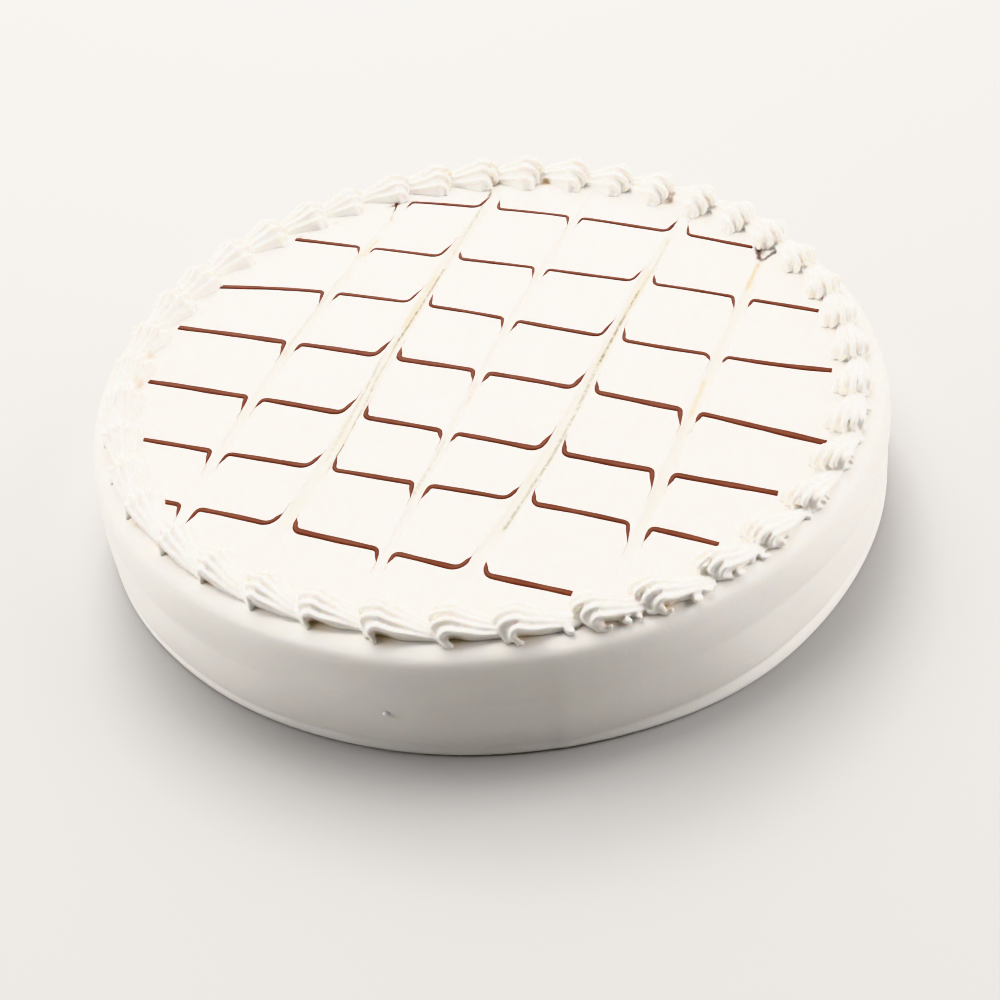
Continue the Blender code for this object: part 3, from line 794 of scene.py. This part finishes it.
def stain_layers(points):
    """Every streak and spot on the icing: its colour and its strength at rows of points."""
    acrosses, alongs = cake_to_pattern(1000.0 * points[:, 0], 1000.0 * points[:, 1])
    up = points[:, 2] - TOP_HEIGHT
    on_top = (np.abs(up) < STREAK_LEVEL).astype(float)
    dots = noise_at(points * (1.0, 1.0, 0.0), DOT_SIZE, 9.0)
    edge = 1.0 + STAIN_EDGE * noise_at(points, STAIN_EDGE_SIZE, 3.0)
    for colour, half, strength, broken, places in STREAKS:
        rows = sorted(places, key=lambda row: row[1])
        ends = [row[1] for row in rows]
        middle = np.interp(alongs, ends, [row[0] for row in rows])
        inside = smooth_step(ends[0] - STREAK_FADE, ends[0] + STREAK_FADE, alongs)
        inside = inside * (1.0 - smooth_step(ends[-1] - STREAK_FADE, ends[-1] + STREAK_FADE, alongs))
        dotted = 1.0 - broken + broken * smooth_step(*DOT_RANGE, dots)
        off = np.abs(acrosses - middle) / (half * edge)
        yield colour, on_top * strength * inside * dotted * np.exp(-off ** STREAK_SHAPE)
    angles = np.arctan2(points[:, 1], points[:, 0])
    reach = 1000.0 * np.hypot(points[:, 0], points[:, 1])
    low = (1.0 - smooth_step(0.5 * SPOT_HEIGHT, SPOT_HEIGHT, up)) * (up > SPOT_FLOOR)
    for degrees, middle, around, across, colour, strength in RIM_SPOTS:
        turn = (angles - math.radians(degrees) + math.pi) % (2.0 * math.pi) - math.pi
        off = np.hypot(middle * turn / around, (reach - middle) / across) / edge
        yield colour, low * strength * np.exp(-off ** STREAK_SHAPE)


def add_stains(item, shells):
    """Store the colour and strength of the streaks, spots and painted hollow shade laid over each corner."""
    corners = np.array([v.co for v in item.data.vertices])
    strengths = np.zeros(len(corners))
    colours = np.zeros((len(corners), 4))
    # the hollows' tint is painted shade, partly a milk stain
    hollows = ((HOLLOW_SHADE_COLOUR, shell.hollow_shade_at(corners)) for shell in shells)
    for colour, strength in [*stain_layers(corners), *hollows]:
        strengths = strengths + (1.0 - strengths) * strength
        share = (strength / np.maximum(strengths, LEAST_STRENGTH))[:, None]
        colours = colours * (1.0 - share) + np.array((*colour, 1.0)) * share
    # strengths and colours of stains, spots and the painted shade in the hollows
    add_values(item, "stain_and_shade", strengths)
    layer = item.data.attributes.new("stain_and_shade_colour", "FLOAT_COLOR", "POINT")
    layer.data.foreach_set("color", colours.astype(np.float32).ravel())


def make_lines():
    rng = random.Random(LINE_SEED)
    points = []
    faces = []
    middles = []
    for index, left, right in line_stretches():
        rows = line_stations(index, left, right, rng)
        phase = rng.uniform(0.0, 6.0)
        first = len(points)
        wide = len(BEAD_PROFILE)
        for i, (across, along, size) in enumerate(rows):
            before = rows[max(i - 1, 0)]
            after = rows[min(i + 1, len(rows) - 1)]
            run = Vector((after[0] - before[0], after[1] - before[1])).normalized()
            side = Vector((-run.y, run.x))
            waves = [part * math.sin(across / length + turns * phase) for part, length, turns in WIDTH_WAVES]
            wider = 1.0 + BACK_WIDENING * smooth_step(*BACK_FROM, abs(across)) * (index < BACK_LINES)
            half = 0.5 * LINE_WIDTHS[index] * wider * size * (1.0 + sum(waves))
            sway = SWAY * size * math.sin(across / SWAY_LENGTH + phase)
            # how strong the painted highlight is along the line
            light = SHEEN_EVEN + (1.0 - SHEEN_EVEN) * math.sin(across / SHEEN_LENGTH + phase)
            for out, up in BEAD_PROFILE:
                a = across + side.x * (out * half + sway)
                b = along + side.y * (out * half + sway)
                x, y = pattern_to_cake(a, b)
                base = TOP_HEIGHT + float(top_relief(np.array([a]), np.array([b]))[0])
                rise = BEAD_HEIGHT * (THIN_HEIGHT + (1.0 - THIN_HEIGHT) * size) * up
                points.append((x, y, base + rise))
                # painted highlight along the bead's middle
                middles.append(SHEEN_STRENGTH * max(0.0, 1.0 - abs(out) / SHEEN_WIDTH) * light)
        for i in range(len(rows) - 1):
            for j in range(wide - 1):
                here = first + i * wide + j
                faces.append((here, here + 1, here + wide + 1, here + wide))
            here = first + i * wide
            faces.append((here + wide - 1, here, here + wide, here + 2 * wide - 1))
        faces.append(tuple(range(first, first + wide))[::-1])
        last = first + (len(rows) - 1) * wide
        faces.append(tuple(range(last, last + wide)))
    lines = make_mesh("chocolate_lines", points, faces)
    # the painted highlight along each line's middle
    add_values(lines, "middle", middles)
    return lines


# Piped border

BORDER_SEED = 38
DETAIL_SEED = 7
# Spreads of what differs from shell to shell
LEAN_SPREAD = (0.6, 1.3)
SWAY_SPREAD = (-0.0002, 0.0006)
BACK_SPREAD = 0.10
THICK_SPREAD = 0.08
TURN_SHARES = (0.5, 1.3)
# How strong each shell's painted hollow shade is
HOLLOW_SHADE_SPREAD = (0.35, 1.0)
HOLLOW_SHADE_CLOSED = 0.3           # share of the painted hollow shade where the hollows are closed
BACK_SINES = (0.2, 0.7)      # the shells of the back begin between these sines
TAIL_STEPS = 14
HEAD_STEPS = 8
FALL_STEPS = 12
ROPE_WAVE = 0.00012
ROPE_WAVE_TURNS = 9.0
LEAN_POWER = 1.2             # how late a ridge leans, and how late it splays
SPLAY_POWER = 1.3
CURL_OUT = 0.3
TIP_THINNING = 0.25
SCRAP_REST = 0.6             # in radii of a scrap, as is its rise
SCRAP_RISE = 0.8
SCRAP_FLAT = 0.7
CORE_STEPS = 12
CORE_END = 0.05              # width that is left at a head's back, before its power
CORE_ROUND = 0.6
RIM_FROM = 0.6               # share of the wall's height
SOFTEN_FACTOR = 0.5
# Unevenness of the cream: depth, size and shift of its noise
UNEVEN = ((0.00010, 0.0024, 5.0), (0.00016, 0.0065, 6.0))


def along_ring(angle):
    """How far out the piping strays at an angle, and how large its shells are."""
    degrees = math.degrees(angle) % 360.0
    rows = BORDER_READINGS + ((BORDER_READINGS[0][0] + 360.0, *BORDER_READINGS[0][1:]),)
    for before, after in zip(rows, rows[1:]):
        if before[0] <= degrees <= after[0]:
            share = (degrees - before[0]) / (after[0] - before[0])
            ease = 0.5 - 0.5 * math.cos(math.pi * share)
            return tuple(a + ease * (b - a) for a, b in zip(before[1:], after[1:]))
    return rows[0][1:]


def tube(path, radii):
    """Points and faces of a closed tube of varying radius round a path."""
    count = len(path)
    run = np.gradient(path, axis=0)
    run = run / np.linalg.norm(run, axis=1)[:, None]
    outward = np.array((0.0, 1.0, 0.0))
    rings = []
    for i in range(count):
        outward = outward - run[i] * np.dot(outward, run[i])
        outward = outward / np.linalg.norm(outward)
        side = np.cross(run[i], outward)
        turns = np.linspace(0.0, 2.0 * math.pi, ROPE_SIDES, endpoint=False)[:, None]
        rings.append(path[i] + radii[i] * (np.cos(turns) * outward + np.sin(turns) * side))
    return np.concatenate(rings), loft_faces(count, ROPE_SIDES)


def loft_faces(rows, around):
    """Faces of a closed loft: its sides and its two end caps."""
    faces = []
    for row in range(rows - 1):
        here = row * around
        for i in range(around):
            k = (i + 1) % around
            faces.append((here + i, here + k, here + around + k, here + around + i))
    faces.append(tuple(range(around))[::-1])
    faces.append(tuple(range((rows - 1) * around, rows * around)))
    return faces


class Shell:
    """One piped shell with its own seeded size, place and unevenness."""

    def __init__(self, index, rng, detail):
        spread = 2.0 * math.pi * index / SHELL_COUNT + SHELL_START
        self.crown = spread + rng.uniform(-TURN_SPREAD, TURN_SPREAD)
        stray, scale = along_ring(self.crown)
        self.size = scale * (1.0 + rng.uniform(-SIZE_SPREAD, SIZE_SPREAD))
        self.radius = BORDER_RADIUS + stray + rng.uniform(-RADIUS_SPREAD, RADIUS_SPREAD)
        self.yaw = rng.uniform(-YAW_SPREAD, YAW_SPREAD)
        degrees = math.degrees(self.crown) % 360.0
        messy = math.exp(-((degrees - JUMBLE_TURN) / JUMBLE_WIDTH) ** 2)
        mess = 1.0 + JUMBLE * messy
        self.lean = detail.uniform(*LEAN_SPREAD)
        self.sway = [mess * detail.uniform(*SWAY_SPREAD) for _ in ROPES]
        self.back = [1.0 + mess * detail.uniform(-BACK_SPREAD, BACK_SPREAD) for _ in ROPES]
        self.thick = [1.0 + mess * detail.uniform(-THICK_SPREAD, THICK_SPREAD) for _ in ROPES]
        self.curl = [detail.uniform(*LEAN_SPREAD) * FOOT_CURL for _ in ROPES]
        self.turn = [detail.uniform(*TURN_SHARES) * (FOOT_TURN + MESSY_TURN * messy) for _ in ROPES]
        self.forward = MESSY_LEAN * messy
        self.scraps = [
            (detail.uniform(*SCRAP_FORWARD), detail.uniform(*SCRAP_OUTWARD), detail.uniform(*SCRAP_RADIUS),
             detail.uniform(*SCRAP_BEND), detail.uniform(0.0, 2.0 * math.pi), detail.uniform(*SCRAP_TURN))
            for _ in range(round(SCRAP_COUNT * messy))
        ]
        is_open = float(smooth_step(*OPEN_FROM, degrees) * (1.0 - smooth_step(*OPEN_TO, degrees)))
        self.open = OPENNESS[0] + (OPENNESS[1] - OPENNESS[0]) * is_open
        self.phase = detail.uniform(0.0, 2.0 * math.pi)
        back = float(smooth_step(*BACK_SINES, math.sin(self.crown)))
        self.full = 1.0 + BACK_FULLNESS * back
        self.inward = 1.0 + BACK_INWARD * back
        # strength of the painted shade in this shell's hollow
        self.stain_and_shade = detail.uniform(*HOLLOW_SHADE_SPREAD) * (HOLLOW_SHADE_CLOSED + (1.0 - HOLLOW_SHADE_CLOSED) * is_open)

    def spread(self, outward):
        """Outward place with the inner side drawn further in where it is so."""
        return self.size * outward * (self.inward if outward < 0.0 else 1.0)

    def tail_place(self, share, outward, up):
        """A place in the shell's section, carried to a share of its tail."""
        narrow = 1.0 - TAIL_NARROWING * share
        low = 1.0 - TAIL_DROP * share ** TAIL_FALL
        return (
            SHELL_TAIL * share,
            self.spread(outward) * narrow + TAIL_DRIFT * share,
            UNDERSIDE + (self.size * up - UNDERSIDE) * low,
        )

    def rope(self, number):
        """Path and radii of one ridge: up the tail, over the head, down to its foot."""
        outward, up, back, lean, splay, radius = (0.001 * v for v in ROPES[number])
        radius = radius * self.thick[number] * self.size
        back = back * self.back[number] * self.size
        lean = (lean * self.lean + self.forward) * self.size
        hook = HOOK_DROP * self.size
        path = []
        radii = []
        for share in np.linspace(1.0, 0.0, TAIL_STEPS + 1)[:-1]:
            thin = radius * (1.0 - ROPE_THINNING * share)
            x, y, z = self.tail_place(share, outward, up)
            wave = ROPE_WAVE * math.sin(share * ROPE_WAVE_TURNS + self.phase + number)
            path.append((x, y + wave, z - thin))
            radii.append(thin)
        top = self.size * up - radius
        for turn in np.linspace(0.0, 0.5 * math.pi, HEAD_STEPS):
            path.append((
                -back * math.sin(turn),
                self.spread(outward),
                top - hook * (1.0 - math.cos(turn)),
            ))
            radii.append(radius)
        foot_out = self.spread(outward + splay)
        foot_up = rim_level(self.radius + foot_out) + FOOT_REST * radius
        for share in np.linspace(0.0, 1.0, FALL_STEPS)[1:]:
            path.append((
                -back + lean * share ** LEAN_POWER + self.sway[number] * math.sin(2.0 * math.pi * share),
                self.spread(outward) + (foot_out - self.spread(outward)) * share ** SPLAY_POWER,
                (top - hook) * (1.0 - share) + foot_up * share,
            ))
            radii.append(radius * (1.0 - FOOT_THINNING * share))
        x, y, z = path[-1]
        for step in range(1, FOOT_STEPS + 1):
            share = step / FOOT_STEPS
            turn = self.turn[number] * share
            curl = self.curl[number]
            path.append((x + curl * math.sin(turn), y + CURL_OUT * curl * share,
                         z + curl * (1.0 - math.cos(turn))))
            radii.append(radius * (1.0 - FOOT_THINNING) * (1.0 - TIP_THINNING * share))
        return tube(np.array(path), np.array(radii))

    def scrap(self, forward, outward, radius, bend, start, turn):
        """A small curl of cream that lies at the foot of a messy tail."""
        level = rim_level(self.radius + outward) + SCRAP_REST * radius
        path = []
        for share in np.linspace(0.0, 1.0, SCRAP_STEPS):
            angle = start + turn * share
            path.append((forward + bend * math.cos(angle),
                         outward + SCRAP_FLAT * bend * math.sin(angle),
                         level + SCRAP_RISE * radius * share))
        return tube(np.array(path), np.full(SCRAP_STEPS, radius))

    def core(self):
        """The cream that carries the ridges, hollowed under its outer edge."""
        rows = []
        hollow = 0.001 * np.array(CORE_SECTION)
        closed = 0.001 * np.array(CORE_TAIL)
        for share in np.linspace(1.0, 0.0, CORE_STEPS):
            shut = 1.0 - self.open * (1.0 - smooth_step(*HOLLOW_END, share))
            section = hollow + (closed - hollow) * shut
            rows.append([self.tail_place(share, y * self.full, z * self.full) for y, z in section])
        head = 0.001 * np.array(CORE_HEAD)
        head = self.full * (closed + (head - closed) * self.open)
        head = [(self.spread(y), self.size * z) for y, z in head]
        for turn in np.linspace(0.0, 0.5 * math.pi, HEAD_STEPS)[1:]:
            shrink = max(math.cos(turn), CORE_END) ** CORE_ROUND
            back = self.size * CORE_BACK * math.sin(turn)
            rows.append([(-back, y * shrink, UNDERSIDE + (z - UNDERSIDE) * shrink) for y, z in head])
        return np.array(rows).reshape(-1, 3), loft_faces(len(rows), len(CORE_SECTION))

    def hollow_shade_at(self, points):
        """Strength of the painted shade, partly a milk stain, in the hollow at rows of points."""
        angle = np.arctan2(points[:, 1], points[:, 0]) - self.crown
        angle = (angle + math.pi) % (2.0 * math.pi) - math.pi
        forward = angle * BORDER_RADIUS
        outward = np.hypot(points[:, 0], points[:, 1]) - self.radius
        local = np.stack([forward, outward, points[:, 2] - TOP_HEIGHT], 1)
        away = (local - self.size * np.array(HOLLOW_SHADE_PLACE)) / HOLLOW_SHADE_SIZE
        return self.stain_and_shade * np.exp(-np.sum(away ** 2, axis=1))

    def place(self, local):
        """Bend the shell onto the ring, in cake coordinates."""
        forward = local[:, 0]
        outward = local[:, 1] - self.yaw * forward
        angle = self.crown + forward / BORDER_RADIUS
        reach = self.radius + outward
        return np.stack([reach * np.cos(angle), reach * np.sin(angle), TOP_HEIGHT + local[:, 2]], 1)


def rim_level(reach):
    """Height of the iced surface against its flat top, at a distance from the middle."""
    shares = [(r, h) for r, h in WALL_OUTLINE if h >= RIM_FROM][::-1]
    level = np.interp(reach / CAKE_RADIUS, [r for r, _ in shares], [h for _, h in shares])
    return (float(level) - 1.0) * TOP_HEIGHT


def apply_modifiers(item):
    depsgraph = bpy.context.evaluated_depsgraph_get()
    mesh = bpy.data.meshes.new_from_object(item.evaluated_get(depsgraph))
    item.modifiers.clear()
    item.data = mesh


def make_border():
    rng = random.Random(BORDER_SEED)
    detail = random.Random(DETAIL_SEED)
    points = []
    faces = []
    first = 0
    shells = [Shell(index, rng, detail) for index in range(SHELL_COUNT)]
    for shell in shells:
        bodies = [shell.core()] + [shell.rope(number) for number in range(len(ROPES))]
        bodies += [shell.scrap(*values) for values in shell.scraps]
        for local, parts in bodies:
            points.append(shell.place(local))
            faces.extend(tuple(first + i for i in part) for part in parts)
            first += len(local)
    border = make_mesh("piped_border", np.concatenate(points), faces)
    melt = border.modifiers.new("melt", "REMESH")
    melt.mode = "VOXEL"
    melt.voxel_size = VOXEL
    soften = border.modifiers.new("soften", "SMOOTH")
    soften.factor = SOFTEN_FACTOR
    soften.iterations = SOFTEN_STEPS
    apply_modifiers(border)
    corners = np.array([v.co for v in border.data.vertices])
    normals = np.array([v.normal for v in border.data.vertices])
    uneven = sum(depth * noise_at(corners, size, shift) for depth, size, shift in UNEVEN)
    corners = corners + normals * uneven[:, None]
    border.data.vertices.foreach_set("co", corners.ravel())
    thin = border.modifiers.new("thin", "DECIMATE")
    thin.ratio = min(1.0, BORDER_FACES / (2.0 * len(border.data.polygons)))
    apply_modifiers(border)
    border.data.shade_smooth()
    return border, shells


# Materials

# Each noise is its scale and detail, each relief its strength and depth
ICING_PATCHES = (28.0, 3.0)
ICING_SPECKS = (160.0, 2.0)
ICING_GRAIN = (900.0, 3.0)
ICING_RELIEF = (0.12, 0.0003)
ICING_ROUGHNESS = (0.42, 0.58)
ICING_DEPTH = 0.0016
ICING_DEPTH_SHARES = (1.0, 0.75, 0.5)    # for red, green and blue
CHOCOLATE_PATCHES = (220.0, 3.0)
CHOCOLATE_GRAIN = (1500.0, 2.0)
CHOCOLATE_RELIEF = (0.15, 0.0002)
CHOCOLATE_DARK = (0.098, 0.028, 0.017)
CHOCOLATE_LIGHT = (0.124, 0.038, 0.024)
# colour of the painted highlight along a line's middle
CHOCOLATE_SHEEN = (0.158, 0.060, 0.034)
CAKE_WHITE = (0.93, 0.898, 0.855)
CAKE_SHADE = (0.91, 0.878, 0.832)
GROOVE_FLOOR = (0.62, 0.575, 0.495)
# The border's cream is painted a little lighter than the top's same cream: painted light on its shaded sides
BORDER_LIT_WHITE = (0.96, 0.932, 0.892)
BORDER_LIT_TONE = (0.95, 0.922, 0.878)
FLOOR_COLOUR = (0.44, 0.432, 0.424)


class Look:
    """A material and the nodes that its colour is built from."""

    def __init__(self, name):
        self.material = bpy.data.materials.new(name)
        self.material.use_nodes = True
        self.nodes = self.material.node_tree.nodes
        self.links = self.material.node_tree.links
        self.shader = self.nodes["Principled BSDF"]

    def give(self, name, value):
        """Set an input of the shader, or link it."""
        socket = self.shader.inputs[name]
        if isinstance(value, (tuple, float)):
            socket.default_value = value
        else:
            self.links.new(value, socket)

    def noise(self, scale, detail):
        node = self.nodes.new("ShaderNodeTexNoise")
        node.inputs["Scale"].default_value = scale
        node.inputs["Detail"].default_value = detail
        place = self.nodes.new("ShaderNodeTexCoord").outputs["Object"]
        self.links.new(place, node.inputs["Vector"])
        return node.outputs["Fac"]

    def ranged(self, source, low, high, new_low=0.0, new_high=1.0):
        node = self.nodes.new("ShaderNodeMapRange")
        limits = {"From Min": low, "From Max": high, "To Min": new_low, "To Max": new_high}
        for name, value in limits.items():
            node.inputs[name].default_value = value
        self.links.new(source, node.inputs["Value"])
        return node.outputs["Result"]

    def mixed(self, factor, first, second):
        node = self.nodes.new("ShaderNodeMix")
        node.data_type = "RGBA"
        self.links.new(factor, node.inputs["Factor"])
        for socket, value in ((node.inputs[6], first), (node.inputs[7], second)):
            if isinstance(value, tuple):
                socket.default_value = (*value, 1.0)
            else:
                self.links.new(value, socket)
        return node.outputs[2]

    def attribute(self, name, output="Fac"):
        node = self.nodes.new("ShaderNodeAttribute")
        node.attribute_name = name
        return node.outputs[output]

    def roughen(self, grain, relief):
        node = self.nodes.new("ShaderNodeBump")
        node.inputs["Strength"].default_value, node.inputs["Distance"].default_value = relief
        self.links.new(self.noise(*grain), node.inputs["Height"])
        self.give("Normal", node.outputs["Normal"])


def icing(name, white, shade, channel=None):
    look = Look(name)
    colour = look.mixed(look.ranged(look.noise(*ICING_PATCHES), 0.35, 0.65), white, shade)
    if channel:
        colour = look.mixed(look.attribute("channel"), colour, channel)
    # stains, spots and the painted shade in the hollows under the tails
    colour = look.mixed(look.attribute("stain_and_shade"), colour, look.attribute("stain_and_shade_colour", "Color"))
    look.give("Base Color", colour)
    look.give("Roughness", look.ranged(look.noise(*ICING_SPECKS), 0.3, 0.7, *ICING_ROUGHNESS))
    look.roughen(ICING_GRAIN, ICING_RELIEF)
    look.give("Subsurface Weight", 0.35)
    look.give("Subsurface Radius", ICING_DEPTH_SHARES)
    look.give("Subsurface Scale", ICING_DEPTH)
    look.give("Specular IOR Level", 0.35)
    return look.material


def chocolate():
    look = Look("chocolate_glaze")
    patches = look.ranged(look.noise(*CHOCOLATE_PATCHES), 0.35, 0.65)
    colour = look.mixed(patches, CHOCOLATE_DARK, CHOCOLATE_LIGHT)
    # the line's middle is lightened with a painted highlight
    look.give("Base Color", look.mixed(look.attribute("middle"), colour, CHOCOLATE_SHEEN))
    look.give("Roughness", 0.55)
    look.give("Specular IOR Level", 0.05)
    look.roughen(CHOCOLATE_GRAIN, CHOCOLATE_RELIEF)
    return look.material


def floor_paint():
    look = Look("pale_floor")
    look.give("Base Color", (*FLOOR_COLOUR, 1.0))
    look.give("Roughness", 0.7)
    return look.material


# Studio

FLOOR_HALF = 3.0
SENSOR_WIDTH = 36.0
SKY_COLOUR = (1.0, 0.970, 0.950, 1.0)
SKY_STRENGTH = 0.050
# Soft boxes: name, place, point that they face, size, power and colour
LIGHTS = (
    ("top_box", (-0.22, 0.74, 1.18), (0.0, 0.0, 0.0), 1.15, 32.0, WARM),
    ("back_box", (0.0, 1.30, 0.80), (0.0, 0.0, 0.02), 1.0, 21.0, WARM),
    ("left_box", (-1.15, 0.10, 0.55), (0.0, 0.0, 0.02), 1.0, 13.5, PINKISH),
    ("right_box", (1.15, 0.10, 0.60), (0.0, 0.0, 0.02), 1.0, 21.5, PINKISH),
)


def make_floor():
    corners = [(x * FLOOR_HALF, y * FLOOR_HALF, 0.0) for x, y in ((-1, -1), (1, -1), (1, 1), (-1, 1))]
    floor = make_mesh("studio_floor", corners, [(0, 1, 2, 3)], smooth=False)
    floor.data.materials.append(floor_paint())


def make_camera():
    data = bpy.data.cameras.new("camera")
    data.lens = CAMERA_LENS
    data.sensor_width = SENSOR_WIDTH
    data.clip_start = 0.01
    camera = bpy.data.objects.new("camera", data)
    bpy.context.scene.collection.objects.link(camera)
    look = (CAMERA_AIM - CAMERA_PLACE).to_track_quat("-Z", "Y")
    roll = Matrix.Rotation(-CAMERA_ROLL, 3, "Z")
    camera.matrix_world = Matrix.Translation(CAMERA_PLACE) @ (look.to_matrix() @ roll).to_4x4()
    bpy.context.scene.camera = camera


def area_light(name, place, aim, size, power, colour):
    data = bpy.data.lights.new(name, "AREA")
    data.shape = "SQUARE"
    data.size = size
    data.energy = power
    data.color = colour
    lamp = bpy.data.objects.new(name, data)
    bpy.context.scene.collection.objects.link(lamp)
    lamp.location = place
    lamp.rotation_euler = (Vector(aim) - Vector(place)).to_track_quat("-Z", "Y").to_euler()


def make_light():
    world = bpy.data.worlds.new("soft_sky")
    world.use_nodes = True
    sky = world.node_tree.nodes["Background"]
    sky.inputs["Color"].default_value = SKY_COLOUR
    sky.inputs["Strength"].default_value = SKY_STRENGTH
    bpy.context.scene.world = world
    for light in LIGHTS:
        area_light(*light)
    bpy.context.scene.view_settings.view_transform = "Khronos PBR Neutral"


body, wall_count = make_body()
tint_grooves(body, wall_count)
border, shells = make_border()
add_stains(body, shells)
body.data.materials.append(icing("cake_icing_look", CAKE_WHITE, CAKE_SHADE, GROOVE_FLOOR))
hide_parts("iced_cake")
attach(body, "root")

lines = make_lines()
lines.data.materials.append(chocolate())
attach(lines, "root")

add_stains(border, shells)
# a lighter copy of the icing, as painted light
border.data.materials.append(icing("lit_border_icing_look", BORDER_LIT_WHITE, BORDER_LIT_TONE))
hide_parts("shell_border")
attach(border, "root")

make_floor()
make_camera()
make_light()
